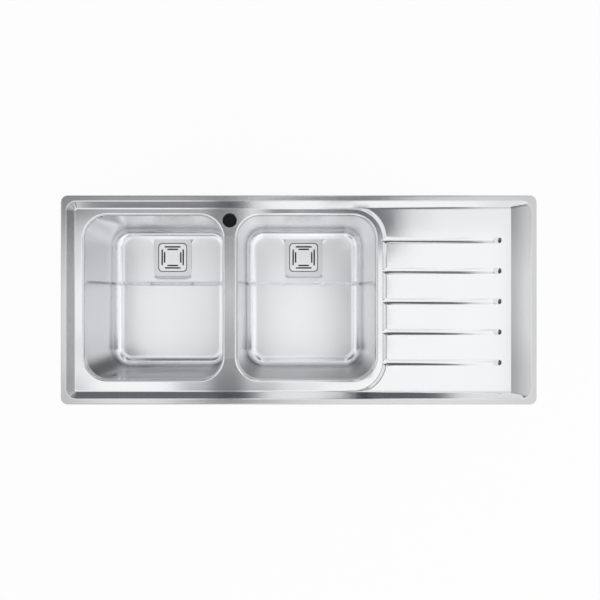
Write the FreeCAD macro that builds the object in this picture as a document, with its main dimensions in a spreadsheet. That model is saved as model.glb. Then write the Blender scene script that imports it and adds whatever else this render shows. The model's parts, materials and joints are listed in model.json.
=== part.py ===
import FreeCAD, Part

import math
import os
from types import SimpleNamespace

import Sketcher

# An inset kitchen sink: a pressed deck with two deep welded bowls, a fluted drainer on the right,
# a square basket waste in each bowl and eight swing-out clips that clamp it to the worktop.
# Millimetres. X runs along the sink, +Y to the back, +Z up. The origin is the middle of the
# worktop cut-out, on the worktop's surface.

# Driving sizes in millimetres and degrees: name, value, meaning

SIZES = [
    ("sink_length", 1160, "overall length of the rim"),
    ("sink_width", 510, "overall width of the rim, front to back"),
    ("sheet_thickness", 0.9, "steel of the deck and the bowls"),
    ("overrun", 5, "how far a cutting form passes what it cuts"),
    ("rim_height", 4.5, "top of the rim over the worktop"),
    ("rim_corner_radius", 17, "outer corners of the rim"),
    ("rim_roll_radius", 3, "rolled outer edge of the rim"),
    ("rim_band", 14, "flat band of the rim"),
    ("rim_inner_radius", 24, "corners of the fold inside the band"),
    ("rim_fold_radius", 6, "bend from the band to the slope"),
    ("recess_depth", 8.5, "deck below the rim"),
    ("recess_run", 17, "width of the slope from the rim to the deck"),
    ("deck_fold_radius", 8, "bend from the slope to the deck"),
    ("cutout_margin", 10, "rim outside the worktop cut-out"),
    ("cutout_clearance", 1, "between the pressing and the cut-out"),
    ("seam_depth", 14, "weld seam of a bowl below the deck"),
    ("bowl_length", 340, "bowl inside, left to right, at the deck"),
    ("bowl_depth", 190, "deepest floor below the deck"),
    ("bowl_corner_radius", 57, "upright corners of a bowl"),
    ("bowl_edge_radius", 6, "bend from the deck into a bowl"),
    ("bowl_draft_run", 9, "how far a wall leans in over the depth"),
    ("floor_radius", 28, "bend from a wall to the floor"),
    ("left_strip", 22, "flat deck left of the bowls"),
    ("land_width", 36, "between the bowls' walls at the deck"),
    ("front_strip", 28, "flat deck in front of the bowls"),
    ("back_strip", 17, "flat deck behind the bowls"),
    ("floor_step_height", 8, "front part of the floor above the back part"),
    ("floor_step_run", 8, "width of the sloping step"),
    ("floor_step_gap", 11.5, "from the foot of the step to the waste's recess"),
    ("tap_hole_radius", 17.5, "standard tap hole"),
    ("tap_hole_inset", 60, "middle of the tap hole inside the rim's edge"),
    ("drainer_gap", 25.5, "from the right bowl to the top of the drainer's left edge"),
    ("drainer_edge_run", 6, "width of the step up to the drainer"),
    ("drainer_edge_rise", 3.2, "drainer above the deck at its left edge"),
    ("drainer_edge_spread", 0.5, "outline of that edge beyond the flat deck"),
    ("drainer_edge_corner", 80, "round corners of the drainer's left edge"),
    ("drainer_edge_radius", 8, "bend along the drainer's left edge"),
    ("drainer_end_rise", 5.6, "drainer above the deck at the ramp"),
    ("ramp_run", 48, "ramp from the drainer to the right rim"),
    ("ramp_shortfall", 0.4, "ramp below the rim where the two meet"),
    ("groove_count", 5, "grooves of the drainer"),
    ("groove_shift", -3.5, "middle groove against the middle of the deck"),
    ("groove_radius", 20, "hollow of a groove"),
    ("groove_floor", 0.15, "groove bottom above the deck at its open end"),
    ("groove_end_depth", 0.9, "groove depth at its closed end"),
    ("groove_margin", 27, "from the middle of a groove's round end to the ramp"),
    ("waste_inset", 87, "middle of the waste in front of the bowl's back"),
    ("waste_recess_side", 120, "square recess pressed in the floor"),
    ("waste_recess_depth", 5, "recess below the floor"),
    ("waste_recess_run", 5, "width of the recess's slope"),
    ("waste_recess_corner", 17, "corners of the recess"),
    ("waste_hole_radius", 45, "hole for the waste, 90 mm across"),
    ("flange_side", 108, "square flange of the waste"),
    ("flange_corner", 14, "corners of the flange"),
    ("flange_drop", 0.6, "flange below the bowl's floor"),
    ("flange_thickness", 1, "steel of the flange and the cup"),
    ("flange_edge_radius", 0.6, "edge of the flange"),
    ("flange_skirt_gap", 0.3, "turned-down edge of the flange above the recess"),
    ("well_side", 82.4, "square well that holds the strainer"),
    ("well_corner", 11, "corners of the well"),
    ("well_depth", 3.2, "well below the flange"),
    ("cup_top_radius", 37, "strainer cup inside at the top"),
    ("cup_floor_radius", 34.5, "strainer cup inside at its floor"),
    ("cup_depth", 30, "cup floor below the well"),
    ("drain_hole_count", 8, "drain holes in the cup floor"),
    ("drain_hole_radius", 5.5, "one drain hole"),
    ("drain_ring_radius", 21, "ring of drain holes"),
    ("gasket_inset", 1.8, "gasket inside the flange's edge"),
    ("gasket_clearance", 0.8, "gasket off the well"),
    ("seal_thickness", 2.5, "rubber seal under the bowl"),
    ("seal_radius", 55, "rubber seal outside"),
    ("hub_flange_radius", 56, "top flange of the plastic waste body"),
    ("hub_flange_thickness", 4, "thickness of that flange"),
    ("hub_wall", 3, "wall of the plastic waste body"),
    ("hub_radius", 44.5, "waste body outside"),
    ("hub_depth", 46, "straight part of the waste body below the floor"),
    ("hub_cone_depth", 12, "cone of the waste body"),
    ("outlet_radius", 23.9, "outlet thread outside, inch and a half"),
    ("outlet_wall", 3.9, "outlet wall with its thread"),
    ("outlet_length", 32, "outlet below the cone"),
    ("spider_boss_radius", 8, "boss that takes the clamping screw"),
    ("spider_height", 8, "height of the boss and its arms"),
    ("spider_arm_width", 3, "arms that hold the boss"),
    ("spider_gap", 0.5, "boss below the cup"),
    ("clamp_screw_radius", 3, "clamping screw of the waste"),
    ("clamp_head_radius", 6, "its head"),
    ("clamp_head_height", 3, "height of its head"),
    ("clamp_screw_length", 18, "screw below the cup floor"),
    ("thread_clearance", 0.08, "screw in its thread, each side"),
    ("cover_clearance", 2, "strainer in its well, each side"),
    ("cover_thickness", 1, "steel of the strainer's top"),
    ("cover_corner", 10, "corners of the strainer"),
    ("cover_edge_radius", 0.7, "edge of the strainer"),
    ("seat_gap", 0.2, "strainer above its seat"),
    ("outer_slot_length", 46, "outer slots of the strainer"),
    ("outer_slot_place", 30.2, "outer slots from the middle"),
    ("inner_slot_length", 31, "inner slots of the strainer"),
    ("inner_slot_place", 23.2, "inner slots from the middle"),
    ("slot_width", 4.2, "width of a slot"),
    ("slot_sides", 4, "sides of the strainer, each with two slots"),
    ("pad_side", 36, "square pad in the middle of the strainer"),
    ("pad_corner", 3, "corners of the pad"),
    ("pad_height", 0.6, "height of the pad"),
    ("stem_radius", 6, "stem of the strainer's plug"),
    ("plug_radius", 31.5, "disc of the plug"),
    ("plug_thickness", 2.5, "thickness of the disc"),
    ("plug_seal_inner", 27.5, "rubber ring of the plug, inside"),
    ("plug_seal_outer", 32.5, "rubber ring of the plug, outside"),
    ("plug_seal_height", 3, "height of the rubber ring"),
    ("rim_seal_inset", 3.5, "foam seal inside the rim's edge"),
    ("rim_seal_width", 9, "foam seal under the rim"),
    ("sound_pad_side_margin", 80, "from a bowl's side wall to the damping pad"),
    ("sound_pad_front_margin", 63, "from a bowl's front wall to the damping pad"),
    ("sound_pad_back_gap", 10, "damping pad in front of the bowl's middle"),
    ("sound_pad_corner", 12, "corners of the damping pad"),
    ("sound_pad_thickness", 3, "thickness of the damping pad"),
    ("worktop_thickness", 38, "worktop that the clips are set for"),
    ("clip_inset", 38, "clip pin inside the rim's edge"),
    ("clip_left_share", -0.37, "left clips from the middle, as a share of the length"),
    ("clip_middle_share", -0.02, "middle clips, as that share"),
    ("clip_right_share", 0.37, "right clips, as that share"),
    ("clip_end_share", 0, "clips of the short sides, as a share of the width"),
    ("clip_pin_drop", 10, "clip pin below the deck"),
    ("clip_pin_radius", 2, "clip pin"),
    ("pin_clearance", 0.08, "pin in the arm, each side"),
    ("bracket_steel", 1.5, "steel of the bracket"),
    ("bracket_length", 40, "foot of the bracket along the rim"),
    ("bracket_width", 9, "bracket across the rim"),
    ("ear_clearance", 0.4, "arm between the bracket's ears, each side"),
    ("pin_head", 1, "pin beyond the ears"),
    ("arm_steel", 2, "steel of the arm"),
    ("arm_width", 18, "width of the arm"),
    ("knuckle_radius", 4.2, "rolled end of the arm round the pin"),
    ("arm_lean", 17, "foot of the arm's leg outside the pin"),
    ("arm_drop", 42, "arm below the pin"),
    ("arm_reach", 48, "end of the arm outside the pin"),
    ("arm_bend_radius", 3, "bend of the arm"),
    ("screw_reach", 39, "clamp screw outside the pin"),
    ("screw_radius", 3, "clamp screw of a clip"),
    ("screw_length", 44, "clamp screw of a clip"),
    ("screw_head_radius", 5.5, "head of the clamp screw, across its corners"),
    ("screw_head_height", 4, "height of that head"),
    ("screw_head_corners", 6, "corners of that head"),
    ("foot_radius", 8, "plastic foot that bears on the worktop"),
    ("foot_height", 5, "height of the foot"),
    ("foot_socket_depth", 3, "screw inside the foot"),
    ("foot_socket_gap", 0.2, "screw's tip below the socket's end"),
]

CLIPS = [
    # side, size that places the clip along the side, surface above the bracket
    ("front", "clip_left_share", "deck"),
    ("front", "clip_middle_share", "deck"),
    ("front", "clip_right_share", "drainer"),
    ("back", "clip_left_share", "deck"),
    ("back", "clip_middle_share", "deck"),
    ("back", "clip_right_share", "drainer"),
    ("left", "clip_end_share", "deck"),
    ("right", "clip_end_share", "ramp"),
]

SIDE_TURNS = {"right": 0, "back": 90, "left": 180, "front": 270}


class Size:
    """A length or an angle with its value and the formula that binds a property to it."""

    def __init__(self, value, formula):
        self.value = value
        self.formula = formula

    def __add__(self, other):
        other = as_size(other)
        return Size(self.value + other.value, f"({self.formula} + {other.formula})")

    def __sub__(self, other):
        other = as_size(other)
        return Size(self.value - other.value, f"({self.formula} - {other.formula})")

    def __mul__(self, other):
        other = as_size(other)
        return Size(self.value * other.value, f"({self.formula} * {other.formula})")

    def __truediv__(self, other):
        other = as_size(other)
        return Size(self.value / other.value, f"({self.formula} / {other.formula})")

    def __neg__(self):
        return Size(-self.value, f"(-1 * {self.formula})")

    __radd__ = __add__
    __rmul__ = __mul__


def as_size(number):
    """A Size as it is, or a plain count or share as a Size."""
    return number if isinstance(number, Size) else Size(number, f"{number}")


def taper_of(run, rise):
    """The angle of a wall that leans by run over rise."""
    angle = math.degrees(math.atan(run.value / rise.value))
    return Size(angle, f"atan({run.formula} / {rise.formula})")


ZERO = as_size(0)
ORIGIN = (ZERO, ZERO)


# The document and its sheet of sizes


def make_sheet(doc):
    """The sheet of driving sizes, and the same sizes by name."""
    sheet = doc.addObject("Spreadsheet::Sheet", "sizes")
    for row, (alias, value, meaning) in enumerate(SIZES, start=1):
        sheet.set(f"A{row}", alias)
        sheet.set(f"B{row}", str(value))
        sheet.set(f"C{row}", meaning)
        sheet.setAlias(f"B{row}", alias)
    doc.recompute()
    named = {alias: Size(float(sheet.get(alias)), f"sizes.{alias}") for alias, _, _ in SIZES}
    return SimpleNamespace(**named)


doc = FreeCAD.newDocument("inset_sink")
S = make_sheet(doc)
PIECES = []


# Helpers for bodies, sketches and features


def new_body(name):
    body = doc.addObject("PartDesign::Body", name)
    body.Label = name
    return body


def piece(obj, name):
    """Name a finished sub-part, which is written to a file of that name."""
    obj.Label = name
    PIECES.append(obj)
    return obj


def bind(obj, path, size):
    obj.setExpression(path, as_size(size).formula)


def place(obj, x=ZERO, y=ZERO, z=ZERO, turn=0):
    """Put an object at x, y, z, turned about the upright axis."""
    upright = FreeCAD.Rotation(FreeCAD.Vector(0, 0, 1), turn)
    obj.Placement = FreeCAD.Placement(FreeCAD.Vector(x.value, y.value, z.value), upright)
    for axis, size in (("x", x), ("y", y), ("z", z)):
        bind(obj, f"Placement.Base.{axis}", size)


def sketch_on(body, name, role, level=ZERO, centre=ORIGIN):
    """An empty sketch on an origin plane of the body, moved by level along the plane's normal."""
    sketch = body.newObject("Sketcher::SketchObject", name)
    plane = [part for part in body.Origin.OriginFeatures if part.Role == role][0]
    sketch.AttachmentSupport = [(plane, "")]
    sketch.MapMode = "FlatFace"
    x, y = centre
    offset = FreeCAD.Vector(x.value, y.value, level.value)
    sketch.AttachmentOffset = FreeCAD.Placement(offset, FreeCAD.Rotation())
    for axis, size in (("x", x), ("y", y), ("z", level)):
        bind(sketch, f"AttachmentOffset.Base.{axis}", size)
    return sketch


def constrain(sketch, size, kind, *where):
    """Add a dimension to the sketch and bind it to a size."""
    index = sketch.addConstraint(Sketcher.Constraint(kind, *where, size.value))
    sketch.setExpression(f"Constraints[{index}]", size.formula)


def rounded_rectangle(body, name, length, width, radius, level=ZERO, centre=ORIGIN):
    """A sketch of a rectangle with round corners, level above the body's XY plane."""
    sketch = sketch_on(body, name, "XY_Plane", level, centre)
    x = length.value / 2
    y = width.value / 2
    r = radius.value
    inner_x = x - r
    inner_y = y - r
    spots = [(-inner_x, y, inner_x, y), (x, inner_y, x, -inner_y)]
    spots += [(inner_x, -y, -inner_x, -y), (-x, -inner_y, -x, inner_y)]
    for x1, y1, x2, y2 in spots:
        start = FreeCAD.Vector(x1, y1, 0)
        sketch.addGeometry(Part.LineSegment(start, FreeCAD.Vector(x2, y2, 0)))
    corners = [(inner_x, inner_y), (inner_x, -inner_y), (-inner_x, -inner_y), (-inner_x, inner_y)]
    up = FreeCAD.Vector(0, 0, 1)
    for turn, (cx, cy) in zip((0, 3, 2, 1), corners):
        circle = Part.Circle(FreeCAD.Vector(cx, cy, 0), up, r)
        start = turn * math.pi / 2
        sketch.addGeometry(Part.ArcOfCircle(circle, start, start + math.pi / 2))
    for line in range(4):
        arc = 4 + line
        following = (line + 1) % 4
        sketch.addConstraint(Sketcher.Constraint("Tangent", line, 2, arc, 2))
        sketch.addConstraint(Sketcher.Constraint("Tangent", arc, 1, following, 1))
        sketch.addConstraint(Sketcher.Constraint("Vertical" if line % 2 else "Horizontal", line))
    for arc in (5, 6, 7):
        sketch.addConstraint(Sketcher.Constraint("Equal", 4, arc))
    sketch.addConstraint(Sketcher.Constraint("Symmetric", 4, 3, 6, 3, -1, 1))
    constrain(sketch, radius, "Radius", 4)
    constrain(sketch, length - 2 * radius, "DistanceX", 6, 3, 4, 3)
    constrain(sketch, width - 2 * radius, "DistanceY", 6, 3, 4, 3)
    return sketch


def circle_sketch(body, name, radius, level=ZERO, centre=ORIGIN, role="XY_Plane"):
    sketch = sketch_on(body, name, role, level, centre)
    up = FreeCAD.Vector(0, 0, 1)
    sketch.addGeometry(Part.Circle(FreeCAD.Vector(0, 0, 0), up, radius.value))
    sketch.addConstraint(Sketcher.Constraint("Coincident", 0, 3, -1, 1))
    constrain(sketch, radius, "Radius", 0)
    return sketch


def slot_sketch(body, name, length, width, level, centre):
    """A slot with round ends, long side along Y."""
    return rounded_rectangle(body, name, width, length, width * SLOT_END_SHARE, level, centre)


def outline(body, name, role, points, level=ZERO):
    """A closed sketch of straight lines whose corners are bound to sizes."""
    sketch = sketch_on(body, name, role, level)
    spots = [FreeCAD.Vector(x.value, y.value, 0) for x, y in points]
    for start, end in zip(spots, spots[1:] + spots[:1]):
        sketch.addGeometry(Part.LineSegment(start, end))
    count = len(points)
    for line in range(count):
        sketch.addConstraint(Sketcher.Constraint("Coincident", line, 2, (line + 1) % count, 1))
    for line, (x, y) in enumerate(points):
        constrain(sketch, x, "DistanceX", -1, 1, line, 1)
        constrain(sketch, y, "DistanceY", -1, 1, line, 1)
    return sketch


def extrude(body, kind, name, sketch, length, taper=None, reverse=False, both=False):
    """A Pad or a Pocket of a sketch."""
    feature = body.newObject(f"PartDesign::{kind}", name)
    feature.Profile = sketch
    bind(feature, "Length", length)
    feature.Reversed = reverse
    if both:
        feature.SideType = "Symmetric"
    if taper is not None:
        bind(feature, "TaperAngle", taper)
    doc.recompute()
    return feature


def pad(body, name, sketch, length, **options):
    return extrude(body, "Pad", name, sketch, length, **options)


def pocket(body, name, sketch, length, **options):
    """A cut that is checked to take material away."""
    before = body.Shape.Volume
    feature = extrude(body, "Pocket", name, sketch, length, **options)
    assert feature.Shape.Volume < before, f"{name} cuts nothing"
    return feature


def turned(body, kind, name, points):
    """A Revolution or a Groove about the upright axis, of radius and height points."""
    sketch = outline(body, f"{name}_profile", "XZ_Plane", points)
    feature = body.newObject(f"PartDesign::{kind}", name)
    feature.Profile = sketch
    feature.ReferenceAxis = (sketch, ["V_Axis"])
    feature.Angle = 360
    doc.recompute()
    return feature


def ring(name, inner, outer, top, height):
    """A body that is a plain round ring."""
    body = new_body(name)
    low = top - height
    turned(body, "Revolution", "ring", [(inner, low), (outer, low), (outer, top), (inner, top)])
    return body


def around(body, name, feature, count):
    """Repeat a feature round the body's upright axis."""
    pattern = body.newObject("PartDesign::PolarPattern", name)
    pattern.Originals = [feature]
    axis = [part for part in body.Origin.OriginFeatures if part.Role == "Z_Axis"][0]
    pattern.Axis = (axis, [""])
    pattern.Angle = 360
    bind(pattern, "Occurrences", count)
    body.Tip = pattern
    doc.recompute()
    return pattern


def samples(edge):
    """Points spread along an edge."""
    first, last = edge.ParameterRange
    return [edge.valueAt(first + (last - first) * share) for share in SAMPLE_SHARES]


def near(value, size):
    return abs(value - size.value) < TOUCH


def fillet(body, name, radius, wanted):
    """Round the edges whose every sampled point is wanted."""
    base = body.Tip
    numbered = enumerate(base.Shape.Edges, start=1)
    names = [f"Edge{n}" for n, edge in numbered if all(wanted(p) for p in samples(edge))]
    assert names, f"{name} finds no edge"
    feature = body.newObject("PartDesign::Fillet", name)
    feature.Base = (base, names)
    bind(feature, "Radius", radius)
    doc.recompute()
    return feature


def grouped(name, objects):
    """One object that holds several separate solids."""
    group = doc.addObject("Part::Compound", name)
    group.Links = objects
    doc.recompute()
    return group


def joined(kind, name, *objects):
    """A boolean of whole objects: Fuse, Cut or Common of two, or MultiFuse of several."""
    result = doc.addObject(f"Part::{kind}", name)
    if kind == "MultiFuse":
        result.Shapes = list(objects)
    else:
        result.Base, result.Tool = objects
    doc.recompute()
    return result


TOUCH = 0.001
SLOT_END_SHARE = 0.49
SAMPLE_SHARES = (0, 0.2, 0.4, 0.6, 0.8, 1)

# Heights and places that several pieces share

DECK = S.rim_height - S.recess_depth
SEAM = DECK - S.seam_depth
DEEP_FLOOR = DECK - S.bowl_depth
FRONT_FLOOR = DEEP_FLOOR + S.floor_step_height
RECESS_END_X = S.sink_length / 2 - S.rim_band
DECK_HALF_LENGTH = RECESS_END_X - S.recess_run
DECK_HALF_WIDTH = S.sink_width / 2 - S.rim_band - S.recess_run
LEFT_BOWL_X = S.left_strip + S.bowl_length / 2 - DECK_HALF_LENGTH
LAND_X = LEFT_BOWL_X + (S.bowl_length + S.land_width) / 2
RIGHT_BOWL_X = LEFT_BOWL_X + S.bowl_length + S.land_width
BOWL_X = {"left": LEFT_BOWL_X, "right": RIGHT_BOWL_X}
BOWL_WIDTH = 2 * DECK_HALF_WIDTH - S.front_strip - S.back_strip
BOWL_Y = (S.front_strip - S.back_strip) / 2
DRAFT = taper_of(S.bowl_draft_run, S.bowl_depth)
WASTE_Y = BOWL_WIDTH / 2 - S.waste_inset
EDGE_X = RIGHT_BOWL_X + S.bowl_length / 2 + S.drainer_gap
RAMP_X = RECESS_END_X - S.ramp_run
EDGE_TOP = DECK + S.drainer_edge_rise
RAMP_FOOT = DECK + S.drainer_end_rise
RAMP_TOP = S.rim_height - S.ramp_shortfall


def drainer_height(x):
    """Height of the drainer's gentle slope at x."""
    rise = S.drainer_end_rise - S.drainer_edge_rise
    return EDGE_TOP + rise * (x - EDGE_X) / (RAMP_X - EDGE_X)


def ramp_height(x):
    """Height of the ramp at x."""
    return RAMP_FOOT + (RAMP_TOP - RAMP_FOOT) * (x - RAMP_X) / S.ramp_run


# The deck


def pressing(name, drop):
    """The solid under the deck's face, or with a drop under the sheet: rim, slope and flat deck."""
    body = new_body(name)
    top = S.rim_height - drop
    rim = rounded_rectangle(body, "rim_outline", S.sink_length - 2 * drop, S.sink_width - 2 * drop,
                            S.rim_corner_radius - drop, level=top)
    if drop is ZERO:
        pad(body, "rim", rim, S.rim_height, reverse=True)
        margin = 2 * (S.cutout_margin + S.cutout_clearance)
        well = rounded_rectangle(body, "well_outline", S.sink_length - margin,
                                 S.sink_width - margin, S.rim_corner_radius)
        pad(body, "well", well, -SEAM, reverse=True)
    else:
        pad(body, "rim", rim, top - SEAM + S.overrun, reverse=True)
    fillet(body, "rolled_edge", S.rim_roll_radius - drop, lambda p: near(p.z, top))
    recess = rounded_rectangle(body, "recess_outline", S.sink_length - 2 * S.rim_band,
                               S.sink_width - 2 * S.rim_band, S.rim_inner_radius, level=top)
    slope = -taper_of(S.recess_run, S.recess_depth)
    pocket(body, "recess", recess, S.recess_depth, taper=slope)
    inside_x = S.sink_length / 2 - S.rim_band
    fillet(body, "rim_fold", S.rim_fold_radius,
           lambda p: near(p.z, top) and abs(p.x) < inside_x.value + TOUCH
           and abs(p.y) < (S.sink_width / 2 - S.rim_band).value + TOUCH)
    floor = DECK - drop
    fillet(body, "deck_fold", S.deck_fold_radius, lambda p: near(p.z, floor))
    return body


def drainer_block(name, drop):
    """The raised drainer with its ramp, its left edge rounded to follow the bowl's corners."""
    body = new_body(name)
    start_x = EDGE_X - S.drainer_edge_corner
    low = SEAM + S.seam_depth / 2 - drop
    points = [(start_x, low), (RECESS_END_X, low), (RECESS_END_X, RAMP_TOP - drop)]
    points += [(RAMP_X, RAMP_FOOT - drop), (start_x, drainer_height(start_x) - drop)]
    side = outline(body, "side", "XZ_Plane", points)
    pad(body, "block", side, S.sink_width - 2 * S.rim_band, both=True)
    edge = rounded_rectangle(body, "edge_outline", 2 * (EDGE_X - S.drainer_edge_run),
                             2 * (DECK_HALF_WIDTH + S.drainer_edge_spread),
                             S.drainer_edge_corner - S.drainer_edge_run, level=DECK - drop)
    flare = taper_of(S.drainer_edge_run, S.drainer_edge_rise)
    pocket(body, "left_edge", edge, 3 * S.drainer_edge_rise, taper=flare, reverse=True)
    fillet(body, "edge_bend", S.drainer_edge_radius,
           lambda p: near(p.z, drainer_height(as_size(p.x)) - drop)
           and p.x < (EDGE_X + S.drainer_edge_run).value
           and p.x > start_x.value + TOUCH)
    return body


def groove_tools(name, drop):
    """The round-ended hollows that are cut in the drainer, each shallower to the right."""
    tools = []
    start_x = EDGE_X - S.drainer_edge_run - S.overrun
    end_x = RAMP_X - S.groove_margin
    start_z = DECK + S.groove_floor + S.groove_radius - drop
    end_z = drainer_height(end_x) - S.groove_end_depth + S.groove_radius - drop
    run = end_x - start_x
    rise = end_z - start_z
    tilt = taper_of(run, rise)
    length = Size(math.hypot(run.value, rise.value),
                  f"sqrt({run.formula} * {run.formula} + {rise.formula} * {rise.formula})")
    pitch = 2 * DECK_HALF_WIDTH / (S.groove_count + 1)
    count = int(S.groove_count.value)
    for number in range(count):
        y = S.groove_shift + pitch * (number - (count - 1) / 2)
        hollow = doc.addObject("Part::Cylinder", f"{name}_{number + 1}")
        bind(hollow, "Radius", S.groove_radius)
        bind(hollow, "Height", length)
        place(hollow, start_x, y, start_z)
        lean = FreeCAD.Rotation(FreeCAD.Vector(0, 1, 0), tilt.value)
        hollow.Placement.Rotation = lean
        bind(hollow, "Placement.Rotation.Angle", tilt)
        end = doc.addObject("Part::Sphere", f"{name}_end_{number + 1}")
        bind(end, "Radius", S.groove_radius)
        place(end, end_x, y, end_z)
        tools += [hollow, end]
    return joined("MultiFuse", name, *tools)


def deck_form(name, drop):
    """The deck's solid with its drainer, grooves and openings."""
    whole = joined("Fuse", f"{name}_with_drainer", pressing(f"{name}_pressing", drop),
                   drainer_block(f"{name}_drainer", drop))
    grooved = joined("Cut", f"{name}_grooved", whole, groove_tools(f"{name}_grooves", drop))
    body = new_body(name)
    body.BaseFeature = grooved
    doc.recompute()
    floor = DECK - drop
    for side, x in BOWL_X.items():
        hole = rounded_rectangle(body, f"{side}_opening_outline", S.bowl_length + 2 * drop,
                                 BOWL_WIDTH + 2 * drop, S.bowl_corner_radius + drop,
                                 level=floor, centre=(x, BOWL_Y))
        pocket(body, f"{side}_opening", hole, 2 * S.seam_depth, taper=-DRAFT)
        clear = rounded_rectangle(body, f"{side}_clear_outline", S.bowl_length + 2 * drop,
                                  BOWL_WIDTH + 2 * drop, S.bowl_corner_radius + drop,
                                  level=floor, centre=(x, BOWL_Y))
        extrude(body, "Pocket", f"{side}_clear", clear, S.recess_depth, reverse=True)
    reach_x = (S.bowl_length / 2 + drop).value + TOUCH
    reach_y = (BOWL_WIDTH / 2 + drop).value + TOUCH

    def on_opening(p):
        beside = [abs(p.x - x.value) < reach_x for x in BOWL_X.values()]
        return near(p.z, floor) and any(beside) and abs(p.y - BOWL_Y.value) < reach_y

    fillet(body, "opening_bends", S.bowl_edge_radius - drop, on_opening)
    tap = circle_sketch(body, "tap_hole_outline", S.tap_hole_radius, level=floor + S.overrun,
                        centre=(LAND_X, S.sink_width / 2 - S.tap_hole_inset))
    pocket(body, "tap_hole", tap, S.seam_depth + 2 * S.overrun)
    return body


def make_deck():
    """The deck's sheet: the form under its face less the form under the sheet."""
    face = deck_form("deck_face", ZERO)
    under = deck_form("deck_under", S.sheet_thickness)
    piece(joined("Cut", "deck_sheet", face, under), "deck_top")
    return under


# The bowls


def bowl_box(name, grow, floor):
    """A bowl's inside, or with a growth its outside, down to one floor, round the bowl's middle."""
    body = new_body(name)
    lean = 2 * S.bowl_draft_run * S.seam_depth / S.bowl_depth
    top = rounded_rectangle(body, "seam_outline", S.bowl_length - lean + 2 * grow,
                            BOWL_WIDTH - lean + 2 * grow,
                            S.bowl_corner_radius - lean / 2 + grow, level=SEAM)
    pad(body, "walls", top, SEAM - floor, taper=-DRAFT, reverse=True)
    fillet(body, "floor_bend", S.floor_radius + grow, lambda p: near(p.z, floor))
    return body


def bowl_form(name, grow):
    """The stepped inside or outside of a bowl with its waste recess."""
    front = bowl_box(f"{name}_front", grow, FRONT_FLOOR - grow)
    back = bowl_box(f"{name}_back", grow, DEEP_FLOOR - grow)
    far = -BOWL_WIDTH
    low = DEEP_FLOOR - grow - S.overrun
    foot = WASTE_Y - S.waste_recess_side / 2 - S.floor_step_gap - grow
    lean = S.floor_step_run / S.floor_step_height
    high = S.floor_step_height + S.overrun
    points = [(far, low), (foot + S.overrun * lean, low), (foot - high * lean, low + S.overrun + high)]
    points += [(foot - high * lean, SEAM + S.overrun), (far, SEAM + S.overrun)]
    away = outline(back, "front_away_outline", "YZ_Plane", points)
    pocket(back, "front_away", away, 2 * S.bowl_length, both=True)
    recess = new_body(f"{name}_recess")
    square = rounded_rectangle(recess, "recess_outline", S.waste_recess_side + 2 * grow,
                               S.waste_recess_side + 2 * grow, S.waste_recess_corner + grow,
                               level=DEEP_FLOOR - grow, centre=(ZERO, WASTE_Y))
    slope = -taper_of(S.waste_recess_run, S.waste_recess_depth)
    pad(recess, "recess", square, S.waste_recess_depth, taper=slope, reverse=True)
    parts = [front, back, recess]
    if grow is ZERO:
        hole = doc.addObject("Part::Cylinder", f"{name}_hole")
        bind(hole, "Radius", S.waste_hole_radius)
        bind(hole, "Height", S.waste_recess_depth + 2 * S.overrun)
        place(hole, ZERO, WASTE_Y, DEEP_FLOOR - S.waste_recess_depth - S.overrun)
        parts.append(hole)
    return joined("MultiFuse", name, *parts)


def make_bowls():
    """Two bowls of one shape, each set under its opening."""
    inside = bowl_form("bowl_inside", ZERO)
    outside = bowl_form("bowl_outside", S.sheet_thickness)
    for side, x in BOWL_X.items():
        bowl = joined("Cut", f"bowl_{side}_sheet", outside, inside)
        place(bowl, x, BOWL_Y)
        piece(bowl, f"bowl_{side}")
        make_sound_pad(side, x)


def make_sound_pad(side, x):
    """The damping pad that is glued under the bowl's raised front floor."""
    body = new_body(f"sound_pad_{side}")
    width = BOWL_WIDTH / 2 - S.sound_pad_front_margin - S.sound_pad_back_gap
    sheet = rounded_rectangle(body, "pad_outline", S.bowl_length - 2 * S.sound_pad_side_margin,
                              width, S.sound_pad_corner)
    pad(body, "pad", sheet, S.sound_pad_thickness, reverse=True)
    y = BOWL_Y - S.sound_pad_back_gap - width / 2
    place(body, x, y, FRONT_FLOOR - S.sheet_thickness)
    piece(body, f"sound_pad_{side}")


def make_rim_seal():
    """The foam strip between the rim and the worktop."""
    body = new_body("rim_seal")
    height = S.rim_height - S.sheet_thickness
    inset = S.rim_seal_inset
    outer = rounded_rectangle(body, "outer_outline", S.sink_length - 2 * inset,
                              S.sink_width - 2 * inset, S.rim_corner_radius - inset)
    pad(body, "strip", outer, height)
    inset = S.rim_seal_inset + S.rim_seal_width
    inner = rounded_rectangle(body, "inner_outline", S.sink_length - 2 * inset,
                              S.sink_width - 2 * inset, S.rim_corner_radius - S.rim_seal_inset,
                              level=height)
    pocket(body, "middle", inner, height)
    piece(body, "rim_seal")


# The basket wastes, modelled round the middle of the waste at the level of the bowl's floor

FLANGE_UNDER = -(S.flange_drop + S.flange_thickness)
WELL_FLOOR = -(S.flange_drop + S.well_depth)
CUP_FLOOR = WELL_FLOOR - S.cup_depth
CUP_UNDER = CUP_FLOOR - S.flange_thickness
RECESS_FLOOR = -S.waste_recess_depth
SEAL_TOP = RECESS_FLOOR - S.sheet_thickness
HUB_TOP = SEAL_TOP - S.seal_thickness
HUB_LOW = -S.hub_depth
OUTLET_TOP = HUB_LOW - S.hub_cone_depth
OUTLET_END = OUTLET_TOP - S.outlet_length


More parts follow.
